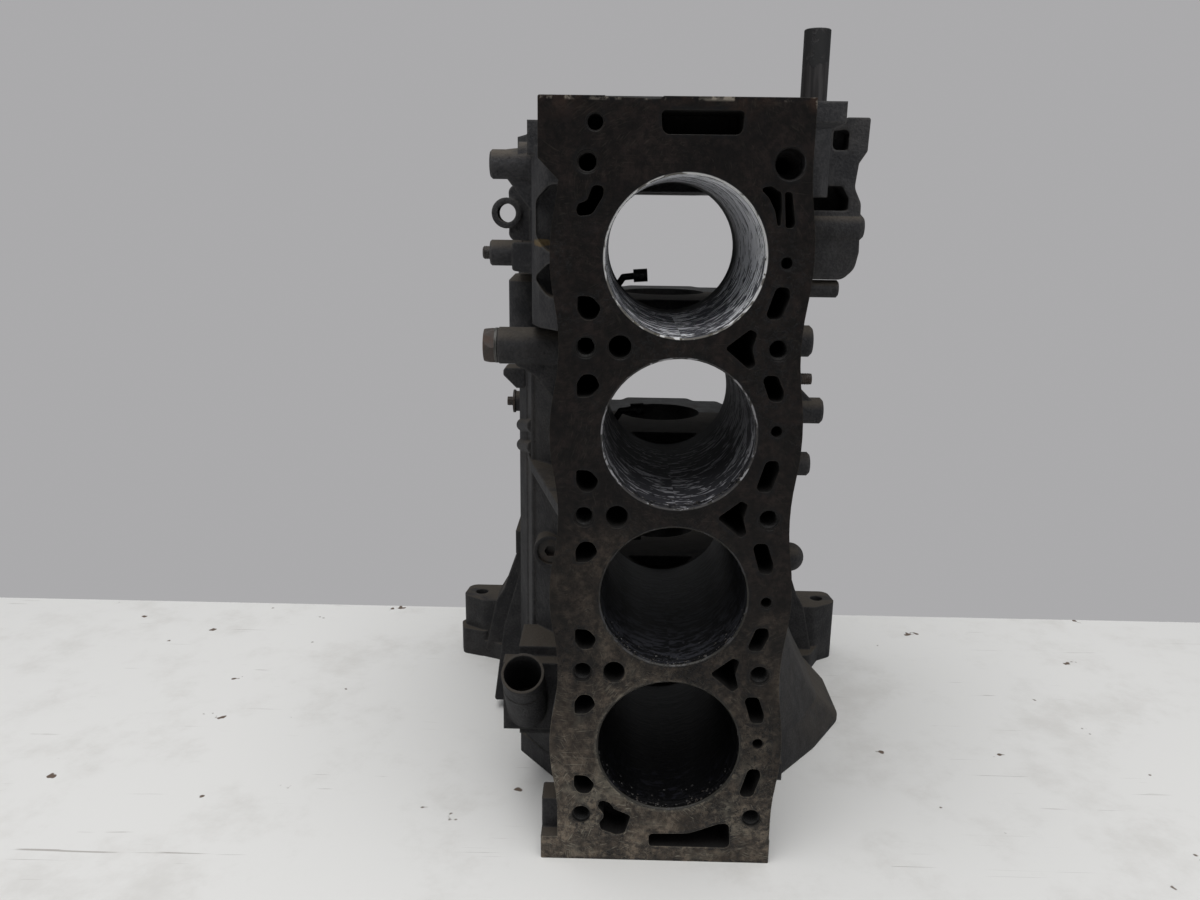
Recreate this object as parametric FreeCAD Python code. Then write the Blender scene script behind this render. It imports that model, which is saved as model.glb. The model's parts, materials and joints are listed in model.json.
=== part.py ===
import FreeCAD, Part
import math
import os

# Inline four-cylinder engine block in cast iron, bare: no crankshaft, pistons, head or sump.
# It stands on its gearbox face. Origin: crankshaft axis at the gearbox face. +Z runs along the
# crankshaft towards the timing end, the deck (head face) looks along -Y, +X is the breather side.

V = FreeCAD.Vector
os.makedirs("parts", exist_ok=True)

# ---- driving sizes, mm -------------------------------------------------------------------------
cylinder_count = 4
bore_dia = 83.0
bore_pitch = 94.0
bore_len = 150.0
bore_chamfer = 0.8
bore_relief = 1.5            # webs are cast clear of the bore below its end
bore_relief_len = 12.0
deck_height = 235.0          # deck to crankshaft axis
first_row = 30.6             # gearbox face to the first main web and head-bolt row
timing_end = 31.4            # last row to the timing face
case_step = 8.0              # timing face to the crankcase end, set back for the cover

deck_thk = 12.0
lobe_left = 70.0             # deck edge abreast of a cylinder
waist_left = 65.2            # deck edge abreast of a bolt row
lobe_right = 66.2
waist_right = 62.4
jacket_step = 3.6            # jacket wall set in from the deck edge
head_bolt_half = 51.0
head_bolt_hole_r = 5.4
head_bolt_depth = 75.0
dowel_hole_r = 7.7
dowel_hole_depth = 14.0
hole_ease = 0.8              # chamfer at the mouth of the round deck holes
coolant_depth = 55.0
coolant_z = 26.5             # cylinder axis to the left coolant passages
slots_low = ((22.9, 19.0), (24.5, 14.6), (22.1, 18.0), (22.6, 16.8))    # right passages: offset, length
slots_high = ((24.9, 17.0), (24.4, 18.0), (26.4, 14.2))
small_holes = (3.0, -2.0)    # offsets of the small right holes, by turns

skirt_left = 104.0           # crankshaft axis to the outside of the skirt
skirt_right = 99.0
case_wall = 13.0
case_floor = 60.0            # crankshaft axis to the sump face
front_wall = 12.0
shoulder_y = 150.0           # crankshaft axis to where the skirt leaves the jacket
rail_left = 114.5
rail_right = 109.5
rail_thk = 13.0
rail_hole_r = 3.4
rail_hole_inset = 7.0
rail_hole_count = 6

web_thk = 22.0
main_bore_r = 31.0
cap_half = 54.0
cap_height = 57.0
cap_shoulder = 46.0
cap_register = 8.0
cap_bolt_half = 42.0
cap_bolt_r = 6.0
cap_bolt_clearance = 0.5
cap_bolt_grip = 36.0
cap_head_r = 9.0
cap_head_h = 11.0
front_seal_r = 37.0
rear_seal_r = 48.0

flange_thk = 15.0
ear_height = 52.0
ear_hole_r = 5.5
ear_left = 151.0
ear_right = 146.0
ear_y = 52.0

cover_hole_r = 3.4
cover_hole_depth = 14.0
seal_hole_ring = 58.0
bell_hole_r = 5.5
bell_hole_depth = 20.0

gallery_r = 6.0
gallery_x = 84.0
gallery_y = 98.0
gallery_plug_len = 12.0
gallery_plug_r = 8.0
socket_r = 4.0
socket_depth = 6.0

breather_od = 15.0
breather_wall = 1.3
breather_x = 75.5
breather_depth = 80.0
breather_rise = 49.0         # tube above its boss
breather_seat = 22.0
breather_seat_r = 7.2        # the end is drawn in to press into the boss
breather_boss_drop = 4.0     # timing face to the boss
breather_boss_len = 42.0

oil_boss_r = 10.9
oil_boss_tip = 105.0
oil_boss_depth = 62.0
oil_plug_r = 8.0
oil_plug_grip = 16.0
oil_plug_hex = 19.0
oil_plug_head = 6.6
oil_washer_thk = 1.5
oil_washer_r = 10.4

vent_boss_r = 7.6
vent_boss_tip = 111.0
vent_screw_r = 3.7
vent_screw_out = 4.6
vent_screw_grip = 12.0

clip_stud_r = 3.2
clip_stud_out = 4.6
clip_stud_grip = 9.0
clip_pad_r = 7.6
clip_pad_out = 6.0
clip_washer_r = 8.6
clip_washer_thk = 1.5

side_stud_r = 3.2
side_stud_out = 6.0
side_stud_grip = 10.0

core_plug_r = 17.5
core_plug_depth = 8.0
core_plug_wall = 1.6
core_boss_rim = 4.5

elbow_od = 27.0
elbow_wall = 1.7
elbow_tilt = 52.0            # spigot axis above the horizontal, degrees
elbow_len = 42.0
elbow_spigot = 16.0          # turned length the hose slides over
elbow_body_step = 0.3        # cast part stands proud of the turned part
elbow_plate_thk = 12.0
elbow_plate_depth = 64.0
elbow_x = 89.5
elbow_z = 70.0

jet_reach = 21.5
jet_root = 44.0
jet_bolt_set = 3.5
jet_rise = 15.0
jet_stem_r = 2.3
jet_knob_r = 4.4
jet_knob_len = 8.0
jet_base = 17.0
jet_base_thk = 5.0
jet_bolt_r = 3.0
jet_bolt_head_r = 5.0
jet_bolt_head_h = 4.0
jet_bolt_grip = 10.0
jet_gap = 8.0                # bore end to the jet

# ---- derived places ----------------------------------------------------------------------------
bore_r = bore_dia / 2
deck_y = -deck_height
bore_end_y = deck_y + bore_len
rows = [first_row + k * bore_pitch for k in range(cylinder_count + 1)]
centres = [first_row + (k + 0.5) * bore_pitch for k in range(cylinder_count)]
top_row = rows[-1]
block_len = top_row + timing_end
case_len = block_len - case_step
jacket_in_x = waist_right - 6.4      # inside the right jacket wall, where outer forms take root
case_inner = min(skirt_left, skirt_right) - case_wall
front_wall_z = case_len - front_wall
breather_y = deck_y + breather_depth
breather_boss_z = block_len - breather_boss_drop
breather_top = breather_boss_z + breather_rise


# ---- small shape helpers -----------------------------------------------------------------------
def place(a, b, c, axis):
    """A point from two in-plane coordinates and one along the axis."""
    return {"x": V(c, a, b), "y": V(a, c, b), "z": V(a, b, c)}[axis]


def soft_wire(points, radius, level, axis):
    """Closed polygon with rounded corners; a third number in a point is that corner's own radius."""
    corners = []
    count = len(points)
    for i, point in enumerate(points):
        p = V(point[0], point[1], 0)
        before = V(points[i - 1][0], points[i - 1][1], 0) - p
        after = V(points[(i + 1) % count][0], points[(i + 1) % count][1], 0) - p
        want = point[2] if len(point) > 2 else radius
        limit = 0.48 * min(before.Length, after.Length)
        u, w = V(before).normalize(), V(after).normalize()
        half = 0.5 * math.acos(max(-1.0, min(1.0, u.dot(w))))
        run = min(want / math.tan(half), limit)
        if run < 0.02 or half > 1.56:
            corners.append((p, None, p))
            continue
        bis = V(u + w).normalize()
        reach = run / math.cos(half) - run * math.tan(half)
        corners.append((p + u * run, p + bis * reach, p + w * run))

    def lift(q):
        return place(q.x, q.y, level, axis)

    edges = []
    for i, (start, mid, end) in enumerate(corners):
        if mid is not None:
            edges.append(Part.Arc(lift(start), lift(mid), lift(end)).toShape())
        nxt = corners[(i + 1) % count][0]
        if (nxt - end).Length > 1e-4:
            edges.append(Part.LineSegment(lift(end), lift(nxt)).toShape())
    return Part.Wire(edges)


def prism(points, lo, hi, axis="z", radius=0.0):
    face = Part.Face(soft_wire(points, radius, lo, axis))
    return face.extrude(place(0, 0, hi - lo, axis))


def box(x0, x1, y0, y1, z0, z1):
    return Part.makeBox(x1 - x0, y1 - y0, z1 - z0, V(x0, y0, z0))


def rod(start, end, r):
    """Round bar between two points."""
    a, b = V(*start), V(*end)
    return Part.makeCylinder(r, (b - a).Length, a, b - a)


def boss_x(side, x0, x1, y, z, r, end_r=1.2):
    """Round boss along X on side -1 or +1, its outer rim eased."""
    body = rod((side * x0, y, z), (side * x1, y, z), r)
    rim = [e for e in body.Edges if abs(e.CenterOfMass.x - side * x1) < 1e-3]
    return body.makeChamfer(min(end_r, 0.45 * r), rim)


def hex_bar(start, direction, flats, length):
    """Hexagonal bar with its first corner up the plane."""
    r = flats / math.sqrt(3)
    d = V(*direction).normalize()
    u = d.cross(V(0, 0, 1))
    u = V(1, 0, 0) if u.Length < 0.1 else u.normalize()
    w = d.cross(u)
    ring = []
    for i in range(7):
        a = math.radians(60 * i)
        ring.append(V(*start) + u * (r * math.cos(a)) + w * (r * math.sin(a)))
    return Part.Face(Part.makePolygon(ring)).extrude(d * length)


def fuse(parts):
    whole = parts[0].multiFuse(parts[1:]) if len(parts) > 1 else parts[0]
    return whole.removeSplitter()


def mirrored(points):
    return [(-p[0],) + tuple(p[1:]) for p in reversed(points)]


# ---- scalloped outline of the deck and the jacket ----------------------------------------------
def wave(side, lobe, waist):
    """Edge of the deck from the gearbox end upwards: arcs out at each cylinder, in at each row."""
    half = (lobe - waist) / 2
    span = bore_pitch / 4
    r = (span * span + half * half) / (2 * half)

    def out(dz):
        return waist + r - math.sqrt(r * r - dz * dz)

    x_mid = waist + half
    pts = [(waist, 0.0), (waist, rows[0])]
    arcs = []
    for k, c in enumerate(centres):
        low = rows[k] if k == 0 else rows[k] - span
        through = (out(span / 2), rows[k] + span / 2) if k == 0 else (waist, rows[k])
        arcs.append(((waist if k == 0 else x_mid, low), through, (x_mid, rows[k] + span)))
        arcs.append(((x_mid, c - span), (lobe, c), (x_mid, c + span)))
    arcs.append(((x_mid, top_row - span), (out(span / 2), top_row - span / 2), (waist, top_row)))

    def lift(q):
        return V(side * q[0], 0, q[1])

    edges = [Part.LineSegment(lift(pts[0]), lift(pts[1])).toShape()]
    edges += [Part.Arc(lift(a), lift(b), lift(c)).toShape() for a, b, c in arcs]
    edges.append(Part.LineSegment(lift((waist, top_row)), lift((waist, block_len))).toShape())
    return edges


def scalloped(inset, y0, y1):
    left = wave(-1, lobe_left - inset, waist_left - inset)
    right = wave(1, lobe_right - inset, waist_right - inset)
    xl, xr = -(waist_left - inset), waist_right - inset
    low = Part.LineSegment(V(xl, 0, 0), V(xr, 0, 0)).toShape()
    high = Part.LineSegment(V(xl, 0, block_len), V(xr, 0, block_len)).toShape()
    ring = Part.Wire(Part.__sortEdges__(left + right + [low, high]))
    face = Part.Face(ring)
    face.translate(V(0, y0, 0))
    return face.extrude(V(0, y1 - y0, 0))


# ---- block casting: main forms -----------------------------------------------------------------
solids = []
solids.append(scalloped(0.0, deck_y, deck_y + deck_thk))
solids.append(scalloped(jacket_step, deck_y + deck_thk / 2, bore_end_y + 10))

corner_x = 76.0
corner_low = top_row + 1.4
corner_depth = 26.0
solids.append(prism([(-corner_x, block_len), (-corner_x, corner_low),
                     (-waist_left, corner_low - 11), (-waist_left + 8, corner_low - 11),
                     (-waist_left + 8, block_len)], deck_y, deck_y + corner_depth, "y", 1.0))

# skirt section: leaves the jacket at a shoulder, widens in two steps, then runs straight
left_case = [(-skirt_left, case_floor, 0), (-skirt_left, -shoulder_y + 84, 14), (-skirt_left + 8, -shoulder_y + 62, 14),
             (-skirt_left + 15, -shoulder_y + 26, 10), (-lobe_left + 6, -shoulder_y, 9),
             (-waist_left + jacket_step + 6, -shoulder_y - 4, 0)]
right_case = [(waist_right - jacket_step - 6, -shoulder_y - 4, 0), (lobe_right - 4, -shoulder_y, 9),
              (skirt_right - 24, -shoulder_y + 26, 10), (skirt_right - 14, -shoulder_y + 66, 14),
              (skirt_right, -shoulder_y + 128, 14), (skirt_right, case_floor, 0)]
solids.append(prism(right_case + left_case, 0, case_len, "z", 4))
for side, skirt, rail in ((-1, skirt_left, rail_left), (1, skirt_right, rail_right)):
    solids.append(prism([(side * (skirt - 3), case_floor), (side * rail, case_floor),
                         (side * rail, case_floor - rail_thk, 3), (side * (skirt - 3), case_floor - rail_thk - 5)],
                        0, case_len, "z", 0))

# long stiffening ribs down the left skirt, where its section turns
for back, out in ((26, 15), (62, 8)):
    solids.append(rod((-skirt_left + out + 0.6, -shoulder_y + back, flange_thk),
                      (-skirt_left + out + 0.6, -shoulder_y + back, case_len - 6), 1.9))

# ---- gearbox flange ----------------------------------------------------------------------------
left_edge = [(-75.3, deck_y, 1), (-75.3, deck_y + 24, 2), (-66, deck_y + 30, 2),
             (-66, deck_y + 75, 6), (-99.5, deck_y + 117, 5), (-99, deck_y + 142, 8),
             (-112, deck_y + 205, 20), (-130, deck_y + 258, 12),
             (-ear_left - 1, ear_y - 20, 8), (-ear_left - 16, ear_y + 6, 10),
             (-ear_left - 10, ear_y + 20, 8), (-ear_left + 14, ear_y + 20, 8), (-rail_left, case_floor, 6)]
right_edge = [(rail_right, case_floor, 6), (ear_right - 22, ear_y + 22, 8), (ear_right + 6, ear_y + 22, 8),
              (ear_right + 15, ear_y + 8, 8), (ear_right - 1, ear_y - 20, 10), (136, deck_y + 250, 10),
              (80, deck_y + 240, 10), (66, deck_y + 160, 10),
              (waist_right + 0.6, deck_y + 80, 4), (waist_right + 0.6, deck_y, 1)]
solids.append(prism(left_edge + right_edge, 0, flange_thk, "z", 2))
solids.append(prism([(-75.3, deck_y + 9), (-75.3, deck_y + 26), (-58, deck_y + 26), (-58, deck_y + 9)],
                    0, flange_thk + 20, "z", 1.5))


def flare(low, high, z0, z1, steps=3, bow=1.7, rim=0.0):
    """Skirt that spreads towards the flange: a stack of like outlines, straight between them."""
    rings = [soft_wire(low, 3, z0 - rim, "z")] if rim else []
    for i in range(steps + 1):
        t = i / steps
        k = t ** (1 / bow)
        pts = [(a[0] + (b[0] - a[0]) * k, a[1] + (b[1] - a[1]) * k, a[2]) for a, b in zip(low, high)]
        rings.append(soft_wire(pts, 3, z0 + (z1 - z0) * t, "z"))
    return Part.makeLoft(rings, True, True)


# starter-side bulge on the right, and the short one under the coolant elbow on the left
wing_low = [(60, deck_y + 69, 2), (74, deck_y + 80, 16), (116, deck_y + 129, 60), (143.5, deck_y + 171, 26),
            (143.5, deck_y + 232, 12), (134, deck_y + 252, 6), (70, deck_y + 252, 4)]
wing_high = [(58, deck_y + 66, 2), (64, deck_y + 78, 12), (82, deck_y + 118, 40), (94, deck_y + 150, 20),
             (98, deck_y + 225, 10), (96, deck_y + 245, 6), (66, deck_y + 252, 4)]
solids.append(flare(wing_low, wing_high, 3.0, 84, 4, 1.5, 3.0))
toe_low = [(-58, deck_y + 66, 3), (-66, deck_y + 75, 5), (-97.5, deck_y + 117, 5),
           (-98, deck_y + 150, 6), (-60, deck_y + 160, 3)]
toe_high = [(-58, deck_y + 60, 3), (-63, deck_y + 66, 5), (-80, deck_y + 90, 5),
            (-90, deck_y + 150, 6), (-60, deck_y + 160, 3)]
solids.append(flare(toe_low, toe_high, flange_thk - 6, 62, 2, 1.2))

# ears for the gearbox bolts, each with an arm up the skirt
for side, ear, skirt in ((-1, ear_left, skirt_left), (1, ear_right, skirt_right)):
    solids.append(prism([(side * (ear + 15), ear_y - 8), (side * (ear + 12), ear_y + 16),
                         (side * (ear - 20), ear_y + 16), (side * (skirt - 6), ear_y + 6),
                         (side * (skirt - 6), ear_y - 18), (side * (ear - 4), ear_y - 20)],
                        0, ear_height, "z", 8))
    arm = [(side * (skirt - 8), 8), (side * (ear - 6), 8), (side * (ear - 16), ear_height + 2, 14),
           (side * (skirt + 24), ear_height + 14, 10), (side * (skirt + 6), ear_height + 66, 4),
           (side * (skirt - 8), ear_height + 66)]
    solids.append(prism(arm, case_floor - 34, case_floor - 4, "y", 2))
solids.append(prism([(-skirt_left + 10, 8), (-skirt_left - 22, 8), (-skirt_left - 14, 70, 20),
                     (-skirt_left + 2, 128, 6), (-skirt_left + 10, 128)], -60, -48, "y", 2))
solids.append(prism([(-ear_left - 18, ear_y - 2, 6), (-ear_left - 15, ear_y - 16, 6), (-ear_left + 8, ear_y - 24, 6),
                     (-ear_left + 12, ear_y), (-ear_left - 6, ear_y + 14)], 0, 24, "z", 4))

# ---- coolant elbow on the left, cast with the block ---------------------------------------------
tilt = math.radians(elbow_tilt)
elbow_root = V(-elbow_x, deck_y + elbow_plate_depth, elbow_z)
elbow_dir = V(0, -math.cos(tilt), math.sin(tilt))
solids.append(box(-elbow_x - 15.5, -waist_left + 8, deck_y + elbow_plate_depth,
                  deck_y + elbow_plate_depth + elbow_plate_thk, 49, 97))
solids.append(box(-elbow_x - 6, -waist_left + 12, deck_y + elbow_plate_depth + elbow_plate_thk - 2,
                  deck_y + elbow_plate_depth + 44, 40, 104))
pipe = Part.makeCylinder(elbow_od / 2, elbow_len + 12, elbow_root - elbow_dir * 12, elbow_dir)
body = Part.makeCylinder(elbow_od / 2 + elbow_body_step, elbow_len - elbow_spigot + 12,
                         elbow_root - elbow_dir * 12, elbow_dir)
keep = box(-200, 0, deck_y - 20, deck_y + elbow_plate_depth + elbow_plate_thk - 1, 0, 200)
solids.append(pipe.fuse(body).common(keep))

# ---- left side: pump casing, bosses and lugs ----------------------------------------------------
pump_front = deck_y + 30
oil_z_low = rows[3] + 6
pump_side = 84.0
solids.append(prism([(-58, pump_front - 14), (-waist_left + 1, pump_front - 14, 4), (-pump_side + 6, pump_front + 4, 8),
                     (-pump_side, pump_front + 22, 10), (-pump_side, -shoulder_y + 20, 0), (-58, -shoulder_y + 20)],
                    oil_z_low, top_row + 10, "z", 1))
solids.append(box(-pump_side - 1.5, -70, deck_y + 44, -shoulder_y,
                  corner_low + 4, corner_low + 22))

timing_boss_y = deck_y + 74
timing_boss_z = top_row + 1.4
solids.append(Part.makeCone(10.6, 8.4, 20, V(-80, timing_boss_y, timing_boss_z), V(-1, 0, 0)))
solids.append(boss_x(-1, 80, 109.5, timing_boss_y, timing_boss_z, 8.3))
solids.append(rod((-93, timing_boss_y, timing_boss_z + 5), (-76, timing_boss_y, timing_boss_z + 5), 7.6))
solids.append(prism([(-102, timing_boss_z - 5), (-78, timing_boss_z - 3), (-78, timing_boss_z - 34),
                     (-87.5, timing_boss_z - 24, 8)], timing_boss_y - 5, timing_boss_y + 40, "y", 1))

lug_y = deck_y + 124
lug_x = 106.5
lug_z = block_len - 57.5
lug_r = 9.6
lug_hole_r = 5.9
solids.append(rod((-lug_x, lug_y, lug_z), (-lug_x, lug_y + 13, lug_z), lug_r))
solids.append(prism([(-lug_x + 1, lug_z + 15, 5), (-lug_x + 18, lug_z + 26), (-80, lug_z + 26),
                     (-80, lug_z - 30), (-lug_x + 18, lug_z - 26), (-lug_x + 1, lug_z - 15, 5),
                     (-lug_x + 2, lug_z)], lug_y + 2, lug_y + 13, "y", 2))

vent_y = deck_y + 80
vent_z = block_len - 80.5
solids.append(boss_x(-1, 92, vent_boss_tip, vent_y, vent_z, vent_boss_r, 0.8))
solids.append(prism([(-97.5, vent_z + 6.5), (-70, vent_z + 6.5), (-70, vent_z - 14), (-97.5, vent_z - 10)],
                    vent_y - 8, vent_y + 26, "y", 2))

oil_y = deck_y + oil_boss_depth
oil_z = rows[3] - 8.2
turret = Part.makeCylinder(14.5, vent_z - 14 - oil_z, V(-89, deck_y + 108, oil_z), V(0, 0, 1))
turret_top = [e for e in turret.Edges if abs(e.CenterOfMass.z - (vent_z - 14)) < 1e-3]
solids.append(turret.makeChamfer(4, turret_top))
solids.append(boss_x(-1, 50, oil_boss_tip, oil_y, oil_z, oil_boss_r, 1.0))
solids.append(box(-90, -60, oil_y, oil_y + 50, oil_z - 7, oil_z + 7))
solids.append(prism([(-oil_boss_tip + 6, oil_z - 6), (-oil_boss_tip + 12, oil_z - 12, 4),
                     (-84, oil_z - 16, 30), (-70, oil_z - 34, 20), (-66, oil_z - 52), (-58, oil_z - 52),
                     (-58, oil_z - 4)], oil_y - 4, oil_y + 5, "y", 1))
solids.append(prism([(-113, oil_z - 28, 3), (-113, oil_z - 33), (-104, oil_z - 42), (-98, oil_z - 42),
                     (-98, oil_z - 28)], -shoulder_y + 65, -shoulder_y + 83, "y", 1.5))

clip_y = -34.0
clip_z = centres[2] - 22.6
clip_face = skirt_left + clip_pad_out
solids.append(boss_x(-1, skirt_left - 6, clip_face, clip_y, clip_z, clip_pad_r, 0.6))

for z_back in (rows[2] + 5.4, rows[2] - 9.4):
    solids.append(rod((-skirt_left + 2.4, case_floor - 16, z_back - 8),
                      (-skirt_left + 2.4, -shoulder_y + 84, z_back + 8), 4.6))
    solids.append(rod((-skirt_left + 2.4, -shoulder_y + 84, z_back + 8),
                      (-skirt_left + 15.6, -shoulder_y + 28, z_back + 20), 4.6))
solids.append(box(-skirt_left - 5, -skirt_left + 4, -52, -14, rows[1] + 3.4, rows[1] + 21.4))

# level rib from the deck edge out to the skirt at the middle row
solids.append(prism([(-waist_left + 8, deck_y + 6), (-waist_left + 0.4, deck_y + 6),
                     (-skirt_left + 13.6, -shoulder_y + 22, 8), (-skirt_left + 8, -shoulder_y + 58),
                     (-waist_left + 8, -shoulder_y + 58)], rows[2] - 3.2, rows[2] + 3.2, "z", 1))

side_plug_x = 76.0
side_plug_z = centres[1] - 7.6
side_plug_y = deck_y + 90
solids.append(rod((-side_plug_x, side_plug_y, side_plug_z), (-side_plug_x, side_plug_y + 34, side_plug_z), 11.2))

# ---- right side: pump bracket casing, bosses ----------------------------------------------------
bracket_y = deck_y + 95
bracket_back = deck_y + 156
solids.append(box(jacket_in_x, breather_x + 5, deck_y + 14, deck_y + 48, block_len - 10.5, block_len))
casing_edge = [(jacket_in_x, -7), (97, -4), (99, 0), (113, 0), (112.5, -19, 3), (108, -26, 3), (106.5, -40, 8),
               (111, -49, 8), (112, -78, 6), (110, -88, 10), (103, -94.5, 8), (jacket_in_x, -94.5)]
solids.append(prism([(q[0], block_len + q[1]) + q[2:] for q in casing_edge], bracket_y, bracket_back, "y", 1.5))
solids.append(boss_x(1, jacket_in_x, 114.5, bracket_y + 6, block_len - 63.3, 9.0, 3.0))
solids.append(boss_x(1, jacket_in_x, 102, bracket_y + 6, block_len - 100.5, 5.4, 1.0))
foot_edge = [(jacket_in_x, -98), (80, -101), (72, -116, 10), (64, -126), (jacket_in_x, -126)]
solids.append(prism([(q[0], block_len + q[1]) + q[2:] for q in foot_edge], bracket_y, bracket_y + 14, "y", 1))
solids.append(rod((breather_x, breather_y, breather_boss_z - breather_boss_len),
                  (breather_x, breather_y, breather_boss_z), breather_od / 2 + 4))
solids.append(box(jacket_in_x, breather_x + 4, breather_y - 9, bracket_y + 10, breather_boss_z - 34, breather_boss_z - 4))

right_y = deck_y + 60
side_stud_face = 75.0
side_stud_z = rows[3] - 25.1
lift_boss_z = centres[2] + 2.9
solids.append(boss_x(1, 52, 79.5, right_y, rows[3] - 2.6, 9.2, 1.6))
solids.append(boss_x(1, 52, side_stud_face, right_y, side_stud_z, 5.6, 2.2))
solids.append(boss_x(1, 52, 88.5, right_y, lift_boss_z, 7.8, 1.4))
solids.append(prism([(54, lift_boss_z + 27.5), (66, lift_boss_z + 22.5), (84, lift_boss_z + 4.5),
                     (84, lift_boss_z), (54, lift_boss_z)], right_y - 4, right_y + 4, "y", 1))
solids.append(boss_x(1, 52, 83, right_y, rows[2] + 16.9, 7.2, 1.4))
dome = V(82, deck_y + 96, centres[1] - 9.6)
solids.append(rod((60, dome.y, dome.z), tuple(dome), 9.5))
solids.append(Part.makeSphere(9.5, dome))
solids.append(box(54, 69, deck_y + 8, deck_y + 20, 52, 63))

# core plug bosses on the right jacket wall, abreast of the three cylinders that are free there
core_face = lobe_right - 1.0
core_y = deck_y + 44
core_z = centres[:-1]
for z in core_z:
    solids.append(rod((core_face - 20, core_y, z), (core_face, core_y, z), core_plug_r + core_boss_rim))

casting = fuse(solids)

# ---- block casting: hollows --------------------------------------------------------------------
cuts = []
for z in centres:
    cuts.append(rod((0, deck_y - 1, z), (0, bore_end_y, z), bore_r))
    cuts.append(rod((0, bore_end_y, z), (0, bore_end_y + bore_relief_len, z), bore_r + bore_relief))
    cuts.append(Part.makeCone(bore_r + bore_chamfer, bore_r, bore_chamfer, V(0, deck_y, z), V(0, 1, 0)))

# crankcase bays between the main webs, open to the sump face
half_bay = [(bore_r + 5, bore_end_y, 6), (case_inner, bore_end_y + 38, 14), (case_inner, case_floor + 1, 0)]
for k in range(cylinder_count):
    cuts.append(prism(half_bay + mirrored(half_bay), rows[k] + web_thk / 2, rows[k + 1] - web_thk / 2, "z", 6))
cuts.append(box(-case_inner, case_inner, cap_register, case_floor + 1, flange_thk, front_wall_z))
cuts.append(box(-cap_half, cap_half, 0, cap_register + 1, flange_thk, front_wall_z))
cuts.append(rod((0, 0, flange_thk - 1), (0, 0, case_len + 1), main_bore_r))
cuts.append(rod((0, 0, -1), (0, 0, rows[0] - web_thk / 2), rear_seal_r))
cuts.append(rod((0, 0, top_row + web_thk / 2), (0, 0, block_len + 1), front_seal_r))
for z in rows:
    for side in (-1, 1):
        cuts.append(rod((side * cap_bolt_half, -cap_bolt_grip - 6, z), (side * cap_bolt_half, 1, z), cap_bolt_r))

# sump rail holes
rail_z = [22 + i * (case_len - 22 - 14) / (rail_hole_count - 1) for i in range(rail_hole_count)]
for side, rail, ear in ((-1, rail_left, ear_left), (1, rail_right, ear_right)):
    x = side * (rail - rail_hole_inset)
    for z in rail_z:
        cuts.append(rod((x, case_floor - rail_thk - 6, z), (x, case_floor + 1, z), rail_hole_r))
    cuts.append(rod((side * ear, ear_y, -1), (side * ear, ear_y, ear_height + 20), ear_hole_r))

# head-bolt holes; the timing-end one on the right is opened out for a dowel bush
def deck_hole(x, z, r, depth):
    """Round hole from the deck with a small chamfer at its mouth."""
    return [rod((x, deck_y - 1, z), (x, deck_y + depth, z), r),
            Part.makeCone(r + hole_ease, r, hole_ease, V(x, deck_y, z), V(0, 1, 0))]


for z in rows:
    for side in (-1, 1):
        cuts += deck_hole(side * head_bolt_half, z, head_bolt_hole_r, head_bolt_depth)
cuts += deck_hole(head_bolt_half, top_row, dowel_hole_r, dowel_hole_depth)


def deck_cut(points, radius, depth=coolant_depth):
    return prism(points, deck_y - 1, deck_y + depth, "y", radius)


# coolant passages: a pair each side of every cylinder; the way points from the cylinder to the row
for k, z in enumerate(centres):
    for way in (-1, 1):
        if k == cylinder_count - 1 and way > 0:
            continue
        zc = z + way * coolant_z
        cuts.append(deck_cut([(-55.4, zc - way * 6.4, 1.6), (-48, zc - way * 6.2, 6), (-42.8, zc - way * 0.5, 3.6),
                              (-46, zc + way * 6.2, 4.6), (-52.6, zc + way * 6.2, 4.6), (-55.6, zc + way * 1.0, 5)], 4))
        away, length = (slots_low if way < 0 else slots_high)[k % 3 if way > 0 else k % 4]
        near, far = z + way * (away - length / 2), z + way * (away + length / 2)
        cuts.append(deck_cut([(42.2, far, 3.6), (51.0, far, 3.4), (55.2, near + way * 5, 5), (54.2, near, 2.6),
                              (47.6, near, 3.4)], 3))
    cuts += deck_hole(52.3, z + small_holes[k % 2], 3.0, 20)
for z in rows[1:-1]:
    cuts += deck_hole(-32.8, z + 0.4, 6.1, coolant_depth)
    cuts.append(deck_cut([(22.3, z + 0.6, 1.8), (35.2, z + 10.8, 2), (39.2, z + 9, 2), (37.0, z, 5), (39.2, z - 8, 2),
                          (35.8, z - 10.8, 2)], 1.5))
top_z = block_len - 12.4
cuts += deck_hole(-47.2, top_z, 4.0, 24)
cuts.append(deck_cut([(-14.5, top_z + 6, 2.5), (27, top_z + 6, 2), (26.4, top_z - 5.6, 4), (-13.6, top_z - 5.6, 4)], 3, 30))
cuts.append(deck_cut([(-10, 9.8, 2.4), (-10, 18.6, 2.4), (14, 19.4, 20), (31.5, 26.4, 5), (37.8, 27, 3), (38.8, 18, 9),
                      (38.8, 9.8, 3.4)], 2, 30))
cuts.append(deck_cut([(-41.2, 36.4, 2.4), (-39.6, 41.2, 2.4), (-34, 39.4, 3), (-31, 35, 4), (-21, 30.6, 2), (-24.6, 18.4, 3),
                      (-30, 17.2, 3), (-39, 20.6, 2.6), (-40.2, 25.4, 2), (-36.6, 30, 5)], 2, 20))
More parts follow.
